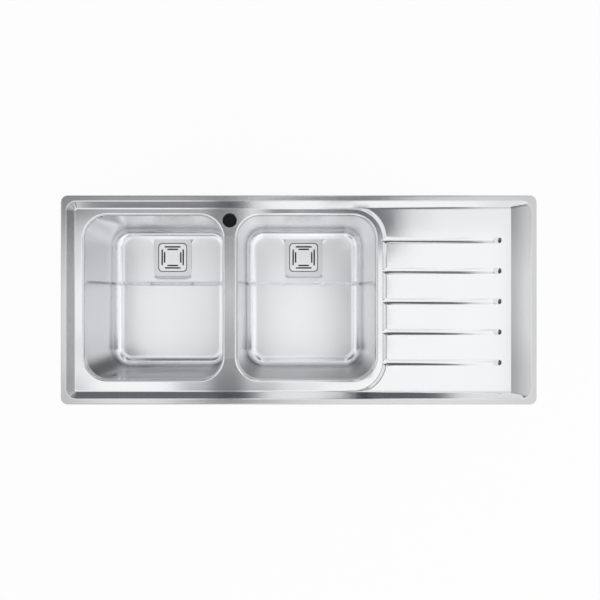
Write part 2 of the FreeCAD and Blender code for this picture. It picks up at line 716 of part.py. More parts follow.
def waste_flange(name):
    """The pressed flange with its turned-down edge, the strainer's square well and the round cup."""
    body = new_body(name)
    steel = S.flange_thickness
    low = RECESS_FLOOR + S.flange_skirt_gap
    plate = rounded_rectangle(body, "flange_outline", S.flange_side, S.flange_side,
                              S.flange_corner, level=low)
    pad(body, "flange", plate, FLANGE_UNDER + steel - low)
    fillet(body, "flange_edge", S.flange_edge_radius, lambda p: near(p.z, FLANGE_UNDER + steel))
    under = rounded_rectangle(body, "underside_outline", S.flange_side - 2 * steel,
                              S.flange_side - 2 * steel, S.flange_corner - steel, level=low)
    pocket(body, "underside", under, FLANGE_UNDER - low, reverse=True)
    shell = rounded_rectangle(body, "well_shell_outline", S.well_side + 2 * steel,
                              S.well_side + 2 * steel, S.well_corner + steel,
                              level=WELL_FLOOR - steel)
    pad(body, "well_shell", shell, S.well_depth)
    top = S.cup_top_radius + steel
    floor = S.cup_floor_radius + steel
    turned(body, "Revolution", "cup_shell",
           [(ZERO, WELL_FLOOR), (top, WELL_FLOOR), (floor, CUP_UNDER), (ZERO, CUP_UNDER)])
    well = rounded_rectangle(body, "well_outline", S.well_side, S.well_side, S.well_corner,
                             level=-S.flange_drop)
    pocket(body, "well", well, S.well_depth)
    mouth = WELL_FLOOR + S.well_depth
    turned(body, "Groove", "cup",
           [(ZERO, mouth), (S.cup_top_radius, mouth), (S.cup_top_radius, WELL_FLOOR),
            (S.cup_floor_radius, CUP_FLOOR), (ZERO, CUP_FLOOR)])
    middle = circle_sketch(body, "screw_hole_outline", S.clamp_screw_radius + S.thread_clearance,
                           level=CUP_FLOOR)
    pocket(body, "screw_hole", middle, 2 * steel)
    hole = circle_sketch(body, "drain_hole_outline", S.drain_hole_radius, level=CUP_FLOOR,
                         centre=(S.drain_ring_radius, ZERO))
    drain = pocket(body, "drain_hole", hole, 2 * steel)
    around(body, "drain_holes", drain, S.drain_hole_count)
    return body


def waste_gasket(name):
    """The square rubber gasket between the flange and the floor of the recess."""
    body = new_body(name)
    height = FLANGE_UNDER - RECESS_FLOOR
    outer_side = S.flange_side - 2 * S.gasket_inset
    grow = S.flange_thickness + S.gasket_clearance
    outer = rounded_rectangle(body, "outer_outline", outer_side, outer_side,
                              S.flange_corner - S.gasket_inset, level=FLANGE_UNDER)
    pad(body, "gasket", outer, height, reverse=True)
    inner = rounded_rectangle(body, "inner_outline", S.well_side + 2 * grow,
                              S.well_side + 2 * grow, S.well_corner + grow, level=FLANGE_UNDER)
    pocket(body, "middle", inner, height)
    return body


def waste_hub(name):
    """The plastic waste body: flange, round hub, cone and threaded outlet."""
    body = new_body(name)
    inside = S.hub_radius - S.hub_wall
    bore = S.outlet_radius - S.outlet_wall
    flange_low = HUB_TOP - S.hub_flange_thickness
    turned(body, "Revolution", "shell",
           [(inside, HUB_TOP), (S.hub_flange_radius, HUB_TOP), (S.hub_flange_radius, flange_low),
            (S.hub_radius, flange_low), (S.hub_radius, HUB_LOW), (S.outlet_radius, OUTLET_TOP),
            (S.outlet_radius, OUTLET_END), (bore, OUTLET_END), (bore, OUTLET_TOP + S.hub_wall),
            (inside, HUB_LOW + S.hub_wall)])
    boss_top = CUP_UNDER - S.spider_gap
    arm = rounded_rectangle(body, "arm_outline", inside + S.hub_radius, S.spider_arm_width,
                            S.spider_arm_width * SLOT_END_SHARE, level=boss_top)
    pad(body, "arm", arm, S.spider_height, reverse=True)
    cross = rounded_rectangle(body, "cross_outline", S.spider_arm_width, inside + S.hub_radius,
                              S.spider_arm_width * SLOT_END_SHARE, level=boss_top)
    pad(body, "cross_arm", cross, S.spider_height, reverse=True)
    boss = circle_sketch(body, "boss_outline", S.spider_boss_radius, level=boss_top)
    pad(body, "boss", boss, S.spider_height, reverse=True)
    thread = circle_sketch(body, "thread_outline", S.clamp_screw_radius + S.thread_clearance,
                           level=boss_top)
    pocket(body, "thread", thread, S.spider_height)
    return body


def clamp_screw(name):
    """The screw that draws the cup and the waste body together."""
    body = new_body(name)
    low = CUP_FLOOR - S.clamp_screw_length
    top = CUP_FLOOR + S.clamp_head_height
    turned(body, "Revolution", "screw",
           [(ZERO, low), (S.clamp_screw_radius, low), (S.clamp_screw_radius, CUP_FLOOR),
            (S.clamp_head_radius, CUP_FLOOR), (S.clamp_head_radius, top), (ZERO, top)])
    return body


COVER_TOP = -S.flange_drop
COVER_UNDER = COVER_TOP - S.cover_thickness
PLUG_SEAL_LOW = CUP_FLOOR + S.seat_gap
PLUG_LOW = PLUG_SEAL_LOW + S.plug_seal_height


def strainer_cover(name):
    """The square slotted top of the strainer, with its turned-down edge."""
    body = new_body(name)
    side = S.well_side - 2 * S.cover_clearance
    low = WELL_FLOOR + S.seat_gap
    steel = S.cover_thickness
    plate = rounded_rectangle(body, "cover_outline", side, side, S.cover_corner, level=low)
    pad(body, "cover", plate, COVER_TOP - low)
    fillet(body, "cover_edge", S.cover_edge_radius, lambda p: near(p.z, COVER_TOP))
    hollow = rounded_rectangle(body, "hollow_outline", side - 2 * steel, side - 2 * steel,
                               S.cover_corner - steel, level=low)
    pocket(body, "hollow", hollow, COVER_UNDER - low, reverse=True)
    middle = rounded_rectangle(body, "middle_outline", S.pad_side, S.pad_side, S.pad_corner,
                               level=COVER_TOP)
    pad(body, "middle_pad", middle, S.pad_height)
    rows = {"outer": (S.outer_slot_length, S.outer_slot_place),
            "inner": (S.inner_slot_length, S.inner_slot_place)}
    for row, (length, away) in rows.items():
        slot = slot_sketch(body, f"{row}_slot_outline", length, S.slot_width, COVER_TOP,
                           (away, ZERO))
        cut = pocket(body, f"{row}_slot", slot, 2 * steel)
        around(body, f"{row}_slots", cut, S.slot_sides)
    return body


def strainer_plug(name):
    """The stem and disc under the strainer's top, which carry the rubber ring."""
    body = new_body(name)
    high = PLUG_LOW + S.plug_thickness
    turned(body, "Revolution", "plug",
           [(ZERO, PLUG_LOW), (S.plug_radius, PLUG_LOW), (S.plug_radius, high),
            (S.stem_radius, high), (S.stem_radius, COVER_UNDER), (ZERO, COVER_UNDER)])
    return body


def make_waste(side):
    """One basket waste, set in its bowl."""
    spot = (BOWL_X[side], BOWL_Y + WASTE_Y, DEEP_FLOOR)
    bodies = {
        "waste_flange": waste_flange(f"waste_flange_{side}"),
        "waste_gasket": waste_gasket(f"waste_gasket_{side}"),
        "waste_seal": ring(f"waste_seal_{side}", S.waste_hole_radius, S.seal_radius,
                           SEAL_TOP, S.seal_thickness),
        "waste_hub": waste_hub(f"waste_hub_{side}"),
        "clamp_screw": clamp_screw(f"clamp_screw_{side}"),
        "strainer_cover": strainer_cover(f"strainer_cover_{side}"),
        "strainer_plug": strainer_plug(f"strainer_plug_{side}"),
        "plug_ring": ring(f"plug_ring_{side}", S.plug_seal_inner, S.plug_seal_outer,
                          PLUG_LOW, S.plug_seal_height),
    }
    for name, body in bodies.items():
        place(body, *spot)
        piece(body, f"{name}_{side}")


# The clips, modelled round their pin with X outwards and Y along the rim

PIN_Z = DECK - S.clip_pin_drop
EAR_GAP = S.arm_width + 2 * S.ear_clearance
FOOT_TOP = -S.worktop_thickness
SCREW_TIP = S.foot_socket_depth - S.foot_height


def outward(side, distance):
    """A distance out of the sink on one of its sides, as x and y."""
    ways = {"right": (distance, ZERO), "left": (-distance, ZERO),
            "back": (ZERO, distance), "front": (ZERO, -distance)}
    return ways[side]


def clip_spots():
    """Each clip's number, side, pin place and the height of the sheet's underside over it."""
    for number, (side, share_name, surface) in enumerate(CLIPS, start=1):
        share = getattr(S, share_name)
        if side in ("front", "back"):
            x, y = outward(side, S.sink_width / 2 - S.clip_inset)
            x = S.sink_length * share
        else:
            x, y = outward(side, S.sink_length / 2 - S.clip_inset)
            y = S.sink_width * share
        heights = {"deck": DECK, "drainer": drainer_height(x), "ramp": ramp_height(x)}
        yield number, side, x, y, heights[surface] - S.sheet_thickness


def ear_outline(body, name, level, top):
    """An ear of the bracket: straight sides from the top, round below the pin."""
    sketch = sketch_on(body, name, "XZ_Plane", level)
    half = S.bracket_width / 2
    left, high = -half.value, top.value
    spots = [(left, 0, left, high), (left, high, half.value, high), (half.value, high, half.value, 0)]
    for x1, z1, x2, z2 in spots:
        start = FreeCAD.Vector(x1, z1, 0)
        sketch.addGeometry(Part.LineSegment(start, FreeCAD.Vector(x2, z2, 0)))
    circle = Part.Circle(FreeCAD.Vector(0, 0, 0), FreeCAD.Vector(0, 0, 1), half.value)
    sketch.addGeometry(Part.ArcOfCircle(circle, math.pi, 2 * math.pi))
    sketch.addConstraint(Sketcher.Constraint("Coincident", 0, 2, 1, 1))
    sketch.addConstraint(Sketcher.Constraint("Coincident", 1, 2, 2, 1))
    sketch.addConstraint(Sketcher.Constraint("Tangent", 2, 2, 3, 2))
    sketch.addConstraint(Sketcher.Constraint("Tangent", 3, 1, 0, 1))
    sketch.addConstraint(Sketcher.Constraint("Coincident", 3, 3, -1, 1))
    sketch.addConstraint(Sketcher.Constraint("Horizontal", 1))
    sketch.addConstraint(Sketcher.Constraint("Vertical", 0))
    constrain(sketch, half, "Radius", 3)
    constrain(sketch, top, "DistanceY", -1, 1, 1, 1)
    return sketch


def clip_bracket(name, seat):
    """The bracket that is welded under the sheet, seat above the pin."""
    body = new_body(name)
    foot = rounded_rectangle(body, "foot_outline", S.bracket_width, S.bracket_length,
                             S.bracket_steel, level=seat - S.bracket_steel)
    pad(body, "foot", foot, 2 * S.bracket_steel)
    for hand, away in (("near", EAR_GAP / 2 + S.bracket_steel), ("far", -EAR_GAP / 2)):
        ear = ear_outline(body, f"{hand}_ear_outline", away, seat)
        pad(body, f"{hand}_ear", ear, S.bracket_steel, reverse=True)
    hole = circle_sketch(body, "pin_hole_outline", S.clip_pin_radius + S.pin_clearance,
                         role="XZ_Plane")
    pocket(body, "pin_hole", hole, 2 * S.bracket_length, both=True)
    return body


def clip_pin(name):
    body = new_body(name)
    shaft = circle_sketch(body, "pin_outline", S.clip_pin_radius, role="XZ_Plane")
    pad(body, "pin", shaft, EAR_GAP + 2 * (S.bracket_steel + S.pin_head), both=True)
    return body


def clip_arm(name):
    """The arm that swings out under the worktop, rolled round the pin."""
    body = new_body(name)
    half = S.arm_steel / 2
    floor = -S.arm_drop
    inner_x = half + S.arm_lean * (S.arm_drop - S.arm_steel) / S.arm_drop
    points = [(-half, ZERO), (S.arm_lean - half, floor), (S.arm_reach, floor)]
    points += [(S.arm_reach, floor + S.arm_steel), (inner_x, floor + S.arm_steel), (half, ZERO)]
    side = outline(body, "side", "XZ_Plane", points)
    pad(body, "strip", side, S.arm_width, both=True)
    fillet(body, "inner_bend", S.arm_bend_radius,
           lambda p: near(p.x, inner_x) and near(p.z, floor + S.arm_steel))
    fillet(body, "outer_bend", S.arm_bend_radius + S.arm_steel,
           lambda p: near(p.x, S.arm_lean - half) and near(p.z, floor))
    roll = circle_sketch(body, "knuckle_outline", S.knuckle_radius, role="XZ_Plane")
    pad(body, "knuckle", roll, S.arm_width, both=True)
    bore = circle_sketch(body, "bore_outline", S.clip_pin_radius + S.pin_clearance,
                         role="XZ_Plane")
    pocket(body, "bore", bore, 2 * S.arm_width, both=True)
    hole = circle_sketch(body, "screw_hole_outline", S.screw_radius + S.thread_clearance,
                         level=floor + 2 * S.arm_steel, centre=(S.screw_reach, ZERO))
    pocket(body, "screw_hole", hole, 3 * S.arm_steel)
    return body


def clip_foot(name):
    """The plastic foot on the screw's tip. Its top is at the body's origin."""
    body = new_body(name)
    low = -S.foot_height
    socket = S.screw_radius + S.thread_clearance
    end = SCREW_TIP + S.foot_socket_gap
    turned(body, "Revolution", "foot",
           [(ZERO, ZERO), (S.foot_radius, ZERO), (S.foot_radius, low), (socket, low),
            (socket, end), (ZERO, end)])
    return body


def clip_screw(name):
    """The screw of a clip with its six-sided head below. The foot's top is its origin."""
    body = new_body(name)
    shank = circle_sketch(body, "shank_outline", S.screw_radius, level=SCREW_TIP)
    pad(body, "shank", shank, S.screw_length, reverse=True)
    corners = int(S.screw_head_corners.value)
    turns = [2 * math.pi * corner / corners for corner in range(corners)]
    points = [(S.screw_head_radius * math.cos(a), S.screw_head_radius * math.sin(a)) for a in turns]
    head = outline(body, "head_outline", "XY_Plane", points, level=SCREW_TIP - S.screw_length)
    pad(body, "head", head, S.screw_head_height, reverse=True)
    return body


def make_clips(under_sheet):
    """All clips, their brackets trimmed to the underside of the deck."""
    brackets = []
    pins = []
    for number, side, x, y, under in clip_spots():
        turn = SIDE_TURNS[side]
        bracket = clip_bracket(f"bracket_{number}", under - PIN_Z)
        pin = clip_pin(f"pin_{number}")
        arm = clip_arm(f"clip_arm_{number}")
        for body in (bracket, pin, arm):
            place(body, x, y, PIN_Z, turn)
        brackets.append(bracket)
        pins.append(pin)
        piece(arm, f"clip_arm_{number}")
        dx, dy = outward(side, S.screw_reach)
        for maker, kind in ((clip_foot, "clip_foot"), (clip_screw, "clip_screw")):
            body = maker(f"{kind}_{number}")
            place(body, x + dx, y + dy, FOOT_TOP, turn)
            piece(body, f"{kind}_{number}")
    tall = grouped("tall_brackets", brackets)
    piece(joined("Common", "trimmed_brackets", tall, under_sheet), "clip_brackets")
    piece(grouped("pins", pins), "clip_pins")


def write_pieces():
    """Check every object, then write each sub-part to a file of its own."""
    os.makedirs("parts", exist_ok=True)
    for obj in doc.Objects:
        bad = [state for state in obj.State if state in ("Invalid", "Error")]
        assert not bad, f"{obj.Label} is {obj.State}"
    for obj in PIECES:
        shape = obj.Shape
        assert not shape.isNull() and shape.isValid(), f"{obj.Label} has no sound shape"
    for obj in PIECES:
        obj.Shape.exportStep(f"parts/{obj.Label}.step")
        print(obj.Label, round(obj.Shape.Volume), len(obj.Shape.Solids))


under_sheet = make_deck()
make_bowls()
make_rim_seal()
for side in BOWL_X:
    make_waste(side)
make_clips(under_sheet)
doc.recompute()
write_pieces()
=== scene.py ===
import json
import math

import bpy
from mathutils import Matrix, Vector
from mathutils.geometry import delaunay_2d_cdt


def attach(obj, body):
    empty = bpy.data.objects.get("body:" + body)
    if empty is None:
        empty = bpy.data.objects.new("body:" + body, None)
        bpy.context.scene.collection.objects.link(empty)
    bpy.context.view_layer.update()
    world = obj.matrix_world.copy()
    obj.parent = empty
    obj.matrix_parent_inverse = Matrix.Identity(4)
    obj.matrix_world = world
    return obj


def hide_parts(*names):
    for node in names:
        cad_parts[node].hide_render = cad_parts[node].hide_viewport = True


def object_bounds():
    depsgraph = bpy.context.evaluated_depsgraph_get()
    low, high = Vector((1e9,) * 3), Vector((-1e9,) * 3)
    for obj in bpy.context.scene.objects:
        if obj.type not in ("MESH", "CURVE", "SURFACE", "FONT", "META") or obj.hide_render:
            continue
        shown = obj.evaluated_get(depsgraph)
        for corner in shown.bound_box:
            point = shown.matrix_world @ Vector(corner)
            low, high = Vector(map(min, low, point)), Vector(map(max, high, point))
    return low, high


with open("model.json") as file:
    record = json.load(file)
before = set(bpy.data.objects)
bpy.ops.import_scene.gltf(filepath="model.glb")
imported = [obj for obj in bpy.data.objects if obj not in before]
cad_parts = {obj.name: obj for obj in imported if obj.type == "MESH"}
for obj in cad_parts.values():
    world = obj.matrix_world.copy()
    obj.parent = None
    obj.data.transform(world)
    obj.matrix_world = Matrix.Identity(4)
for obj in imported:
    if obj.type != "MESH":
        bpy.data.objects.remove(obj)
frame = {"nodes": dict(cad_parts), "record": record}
cad_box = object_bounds()
record = frame["record"]

# Sizes of the pressings in millimetres, as in the part

MM = 0.001
SHEET = 0.9

RIM_HALF = (580, 255)
RIM_CORNER = 17
RIM_TOP = 4.5
ROLL = 3
FOLD_HALF = (566, 241)
FOLD_CORNER = 24
FOLD_ROUND = 1.5
SLOPE_RUN = 17
DECK = -4
DECK_ROUND = 2

BOWL_HALF = (170, 201.5)
BOWL_CORNER = 57
BOWL_X = {"left": -357, "right": 19}
BOWL_Y = 5.5
BEND = 6
DEEP_FLOOR = -194
FRONT_FLOOR = -186
LEAN = 9 / 190
FLOOR_BEND = 28
STEP_FOOT = 43
STEP_RUN = 8
STEP_ROUND = 2
SHELF = 1.6
SHELF_RUN = 30
WALL_DEPTHS = (6, 9, 14, 20, 27, 34, 60, 90, 120, 145)

WASTE_Y = 114.5
RECESS_HALF = 60
RECESS_CORNER = 17
RECESS_DEPTH = 5
RECESS_RUN = 5
RECESS_ROUND = 0.9
WASTE_HOLE = 45
WELL_REACH = 46
WELL_DARK = -195.4

TAP = (-169, 195, 17.5)
LAND_HALF = (22, 150)
LEFT_SLOPE = -548

# The drainer, with its rounded left edge, its shoulders along the back and front, and its ramp

DRAINER_FROM = 120
EDGE_HALF = (206.5, 222.5)
EDGE_CORNER = 74
EDGE_RUN = 8
EDGE_RISE = 3.2
EDGE_ROUND = 1.6
EDGE_BLEND = 0.9
END_RISE = 5.6
DRAINER_BLEND = 0.3
SHOULDER = 222.8
SHOULDER_FALL = 0.7
SHOULDER_ROUND = 1.2
RAMP_X = 518
RAMP_END = 566
RAMP_TOP = 4.1
RAMP_ROUND = 1.2
RAMP_FOOT = 227
RAMP_SPREAD = 10

GROOVES = [-3.5 + 448 / 6 * step for step in (-2, -1, 0, 1, 2)]
GROOVE_START = 203
GROOVE_END = 487
GROOVE_HALF = 7.4
GROOVE_REACH = 18
GROOVE_FLOOR = 0.15
GROOVE_END_DEPTH = 0.9
GROOVE_CLOSE = 0.85
GROOVE_SHAPE = 1.5
GROOVE_BLEND = 0.25
GROOVE_DIP = 0.6
GROOVE_DIP_RUN = 14
FLARE = 0.25
FLARE_RUN = 6
DIMPLE_DEPTH = 1.9
DIMPLE_RUN = 7
# Painted shade on the walls of the dimples at the grooves' ends: from and to along X past a
# groove's end, and the X of the normal below which a face is shaded.
DIMPLE_SHADE_FROM = -4
DIMPLE_SHADE_TO = 8.2
DIMPLE_SHADE_TILT = -0.15


# Shader maths


class Wire:
    """A value that runs into a finish. Sums and products of wires add Math nodes."""

    def __init__(self, finish, socket):
        self.finish = finish
        self.socket = socket

    def maths(self, operation, *terms):
        return self.finish.node("Math", {"operation": operation}, dict(enumerate(terms)))

    def __add__(self, other):
        return self.maths("ADD", self, other)

    def __sub__(self, other):
        return self.maths("SUBTRACT", self, other)

    def __rsub__(self, other):
        return self.maths("SUBTRACT", other, self)

    def __mul__(self, other):
        return self.maths("MULTIPLY", self, other)

    def __abs__(self):
        return self.maths("ABSOLUTE", self)

    __radd__ = __add__
    __rmul__ = __mul__

    def at_least(self, other):
        return self.maths("MAXIMUM", self, other)

    def turn(self, start, end, low=0.0, high=1.0, kind="SMOOTHSTEP"):
        """Low up to the start, high from the end on, and turning between them."""
        return self.finish.node("MapRange", {"interpolation_type": kind},
                                {0: self, 1: start, 2: end, 3: low, 4: high})

    def window(self, low, high, soft):
        """One between low and high and zero outside them, with soft edges."""
        rise = self.turn(low - soft, low + soft)
        fall = self.turn(high - soft, high + soft, 1.0, 0.0)
        return rise * fall

    def axes(self):
        """The three parts of a vector."""
        split = self.finish.node("SeparateXYZ", {}, {0: self})
        return [Wire(self.finish, socket) for socket in split.socket.node.outputs]


class Finish:
    """A node tree and the one way to add nodes to it."""

    def __init__(self, tree):
        self.tree = tree
        tree.nodes.clear()

    def node(self, kind, settings=None, inputs=None, output=0):
        node = self.tree.nodes.new("ShaderNode" + kind)
        for key, value in (settings or {}).items():
            setattr(node, key, value)
        for key, value in (inputs or {}).items():
            if isinstance(value, Wire):
                self.tree.links.new(value.socket, node.inputs[key])
            else:
                node.inputs[key].default_value = value
        return Wire(self, node.outputs[output]) if node.outputs else None

    def place(self):
        """Where a point is on its object, in metres."""
        return self.node("TexCoord", output=3)

    def tint(self, factor, low, high):
        """A colour between two, by a factor."""
        return self.node("Mix", {"data_type": "RGBA"}, {0: factor, 6: low, 7: high}, output=2)

    def noise(self, scale, stretch=(1, 1, 1), detail=2):
        """Noise over the object, in grains of 1/scale metres, drawn out along an axis."""
        spread = self.node("Mapping", {}, {0: self.place(), 3: stretch})
        return self.node("TexNoise", {}, {"Vector": spread, "Scale": scale, "Detail": detail})

    def bump(self, height, strength, distance):
        return self.node("Bump", {}, {"Strength": strength, "Distance": distance,
                                      "Height": height})

    def surface(self, inputs):
        """A Principled surface as the material's own."""
        shader = self.node("BsdfPrincipled", {}, inputs)
        self.node("OutputMaterial", {}, {"Surface": shader})


def grey(level):
    return (level, level, level, 1)


def steel_grey(level):
    """A grey that is a little cool."""
    return (level * 0.982, level * 0.988, level, 1)


def material(name):
    made = bpy.data.materials.new(name)
    made.use_nodes = True
    return made, Finish(made.node_tree)


def brushed_sheet(name, along, tone, roughness, spread):
    """Satin stainless sheet with its grain along X or Y."""
    made, finish = material(name)
    stretch = (1, 40, 40) if along == "X" else (40, 1, 40)
    grain = finish.noise(24, stretch, detail=3)
    fine = finish.noise(90, stretch, detail=1)
    cloud = finish.noise(7)
    streak = grain * 0.6 + fine * 0.4
    finish.surface({
        "Base Color": finish.tint(streak * 0.6 + cloud * 0.4,
                                  steel_grey(tone - 0.05), steel_grey(tone + 0.03)),
        "Metallic": 1.0,
        "Roughness": roughness - 0.05 + streak * 0.08 + cloud * 0.03,
        "Anisotropic": spread,
        "Anisotropic Rotation": 0.0 if along == "X" else 0.25,
        "Normal": finish.bump(streak, 0.05, 0.0002)})
    return made


def shaded_ramp(name, low, high, roughness):
    """Coarser brushed steel of the ramp, with painted shade: darker at its foot and towards its
    ends.
    """
    made, finish = material(name)
    grain = finish.noise(24, (40, 1, 40), detail=3)
    cloud = finish.noise(5, (2, 1, 1), detail=1)
    across, along, _ = finish.place().axes()
    # Painted shade: the colour is dark at the ramp's foot, lighter up its climb, and darker
    # towards its ends.
    climb = across.turn(RAMP_X * MM, FOLD_HALF[0] * MM, 0.0, 0.6)
    middle = abs(along).turn(0.02, 0.2, 0.3, 0.0)
    finish.surface({
        "Base Color": finish.tint(climb + middle + cloud * 0.35 + grain * 0.2 - 0.1,
                                  steel_grey(low), steel_grey(high)),
        "Metallic": 1.0,
        "Roughness": roughness + grain * 0.08,
        "Anisotropic": 0.5,
        "Anisotropic Rotation": 0.25,
        "Normal": finish.bump(grain, 0.05, 0.0002)})
    return made


def from_middles(along_x):
    """Distance along X from the middle of whichever bowl is nearer."""
    left, right = BOWL_X["left"] * MM, BOWL_X["right"] * MM
    on_left = along_x.maths("LESS_THAN", along_x, (left + right) / 2)
    return along_x - right + on_left * (right - left)


def drawn_bowl(name, tone, outside_tone, wall_roughness, floor_roughness):
    """Satin stainless of a drawn bowl, with painted shade on its front and left walls and front
    corners, and darker on its floor and outside.
    """
    made, finish = material(name)
    grain = finish.noise(30, (1, 30, 30), detail=3)
    cloud = finish.noise(9)
    place_x, place_y, place_z = finish.place().axes()
    right, back, up = finish.node("NewGeometry", output=1).axes()

    away = from_middles(place_x) * right + (place_y - BOWL_Y * MM) * back - up * 0.2
    outside = away.turn(-0.02, 0.02, kind="LINEAR")
    steep = up.turn(0.35, 0.7, 1.0, 0.0)
    off_floor = place_z.turn((FRONT_FLOOR + 2) * MM, (FRONT_FLOOR + 12) * MM, kind="LINEAR")
    flat = up.turn(0.985, 1.0)

    # Painted shade: steep faces above the floor are darker where they face back (front walls) or
    # right (left walls), most in the front corners; the floor and the outside are a little darker
    # too.
    ahead = back.at_least(0.0)
    painted_wall_shade = ahead * 0.4 + right.at_least(0.0) * 0.15 + ahead * abs(right) * 0.8
    shade_and_tone = ((1.0 - steep * off_floor * painted_wall_shade) * (1.0 - flat * 0.1)
              * (1.0 - outside * (1 - outside_tone / tone)))
    level = up.turn(0.88, 0.99, wall_roughness, floor_roughness)
    finish.surface({
        "Base Color": finish.tint((grain * 0.03 + cloud * 0.03 + 0.955) * shade_and_tone,
                                  grey(0), steel_grey(tone)),
        "Metallic": 1.0,
        "Roughness": level + cloud * 0.05 - 0.02 + outside * 0.06,
        "Normal": finish.bump(grain, 0.08, 0.0002)})
    return made


def deep_pressing(name, tone, deep_tone, line):
    """Satin stainless pressing, dark below a height in its well, where no light gets in."""
    made, finish = material(name)
    grain = finish.noise(40, (1, 30, 30), detail=3)
    across, along, height = finish.place().axes()
    reach = abs(from_middles(across)).at_least(abs(along - (BOWL_Y + WASTE_Y) * MM))
    skirt = reach.turn(WELL_REACH * MM, (WELL_REACH + 1) * MM, kind="LINEAR")
    lit = height.turn(line - 0.0006, line + 0.0003).at_least(skirt)
    finish.surface({
        "Base Color": finish.tint(lit * (0.9 + grain * 0.1), grey(deep_tone), steel_grey(tone)),
        "Metallic": 1.0,
        "Roughness": 0.3 + grain * 0.06})
    return made


def plated_steel(name, tone, roughness):
    """Bright zinc plate with its faint mottle."""
    made, finish = material(name)
    mottle = finish.noise(160, detail=3)
    scuff = finish.noise(900)
    finish.surface({
        "Base Color": finish.tint(mottle, grey(tone - 0.08),
                                  (tone + 0.02, tone + 0.03, tone + 0.05, 1)),
        "Metallic": 1.0,
        "Roughness": roughness + mottle * 0.12,
        "Normal": finish.bump(scuff, 0.15, 0.0001)})
    return made


def moulded(name, low, high, roughness, grain, depth):
    """Moulded plastic, rubber or foam with a fine skin."""
    made, finish = material(name)
    skin = finish.noise(grain, detail=4)
    cloud = finish.noise(30)
    finish.surface({
        "Base Color": finish.tint(skin * 0.5 + cloud * 0.5, low, high),
        "Roughness": roughness + skin * 0.15,
        "Normal": finish.bump(skin, 0.4, depth)})
    return made


# Forms


def rounded_distance(x, y, half, corner):
    """Distance outside a rounded rectangle, negative inside it."""
    dx = abs(x) - half[0] + corner
    dy = abs(y) - half[1] + corner
    outside = math.hypot(max(dx, 0), max(dy, 0))
    return outside + min(max(dx, dy), 0) - corner


def turn_up(distance, width):
    """Zero before a fold and the distance after it, rounded over the width each side."""
    if distance <= -width:
        return 0
    if distance >= width:
        return distance
    return (distance + width) ** 2 / (4 * width)


def eased(share):
    """A share from 0 to 1 that starts and ends softly."""
    share = min(1, max(0, share))
    return share * share * (3 - 2 * share)


def higher(a, b, blend):
    """The higher of two heights, rounded where they meet."""
    return max(a, b) + max(0, blend - abs(a - b)) ** 2 / (4 * blend)


def lower(a, b, blend):
    """The lower of two heights, rounded where they meet."""
    return -higher(-a, -b, blend)


def drainer_top(x):
    """Height of the drainer's gentle slope and its ramp."""
    rise = (END_RISE - EDGE_RISE) / (RAMP_X - EDGE_HALF[0] - EDGE_RUN)
    ramp = (RAMP_TOP - DECK - END_RISE) / (RAMP_END - RAMP_X)
    gentle = DECK + EDGE_RISE + rise * (x - EDGE_HALF[0] - EDGE_RUN)
    return min(RAMP_TOP, gentle + (ramp - rise) * turn_up(x - RAMP_X, RAMP_ROUND))


def ramp_reach(x):
    """How far the ramp's widening takes the drainer to the back and front at x."""
    return RAMP_SPREAD * min(1, max(0, x - RAMP_X) / (FOLD_HALF[0] - RAMP_X))


def groove_surface(x, across):
    """Height of a groove's hollow at x, across from its middle, and the blend of its lips."""
    share = (x - GROOVE_START) / (GROOVE_END - GROOVE_START)
    end_floor = drainer_top(GROOVE_END) - GROOVE_END_DEPTH
    start_floor = DECK + GROOVE_FLOOR
    floor = start_floor + (end_floor - start_floor) * min(1, share) ** GROOVE_SHAPE
    floor -= GROOVE_DIP * eased((x - GROOVE_START) / GROOVE_DIP_RUN) * (1 - min(1, share))
    floor -= DIMPLE_DEPTH * math.exp(-((x - GROOVE_END) / DIMPLE_RUN) ** 2)
    flare = 1 + FLARE * math.exp(-max(0, x - EDGE_HALF[0] - EDGE_RUN) / FLARE_RUN)
    reach = math.hypot(across / flare, GROOVE_CLOSE * max(0, x - GROOVE_END))
    depth = drainer_top(x) - floor
    return floor + depth * (reach / GROOVE_HALF) ** GROOVE_SHAPE, GROOVE_BLEND * flare


def deck_height(x, y):
    """Height of the pressed deck with its rim, slopes, drainer and grooves."""
    inward = -rounded_distance(x, y, FOLD_HALF, FOLD_CORNER)
    fall = (RIM_TOP - DECK) / SLOPE_RUN
    height = RIM_TOP - fall * turn_up(inward, FOLD_ROUND)
    height += fall * turn_up(inward - SLOPE_RUN, DECK_ROUND)
    if x < DRAINER_FROM:
        return height
    away = rounded_distance(x, y, EDGE_HALF, EDGE_CORNER)
    edge = DECK + EDGE_RISE / EDGE_RUN * turn_up(away, EDGE_ROUND)
    over = turn_up(abs(y) - SHOULDER - ramp_reach(x), SHOULDER_ROUND)
    top = lower(drainer_top(x) - SHOULDER_FALL * over, edge, EDGE_BLEND)
    height = higher(height, top, DRAINER_BLEND)
    if x < GROOVE_START:
        return height
    for place in GROOVES:
        if abs(y - place) <= GROOVE_REACH:
            height = lower(height, *groove_surface(x, y - place))
    return height


def floor_height(y):
    """Height of a bowl's floor, y behind the bowl's middle."""
    rise = (FRONT_FLOOR - DEEP_FLOOR) / STEP_RUN
    front = STEP_FOOT - y
    climb = turn_up(front, STEP_ROUND) - turn_up(front - STEP_RUN, STEP_ROUND)
    return DEEP_FLOOR + rise * climb


def shelf(y):
    """How far the front part of a bowl's wall stands in."""
    return SHELF * eased((STEP_FOOT - y) / STEP_RUN)


def basin_height(x, y):
    """Height of a bowl's floor with its waste recess, from the bowl's middle."""
    away = -rounded_distance(x, y - WASTE_Y, (RECESS_HALF, RECESS_HALF), RECESS_CORNER)
    fall = RECESS_DEPTH / RECESS_RUN
    sunk = turn_up(away, RECESS_ROUND) - turn_up(away - RECESS_RUN, RECESS_ROUND)
    return floor_height(y) - fall * sunk


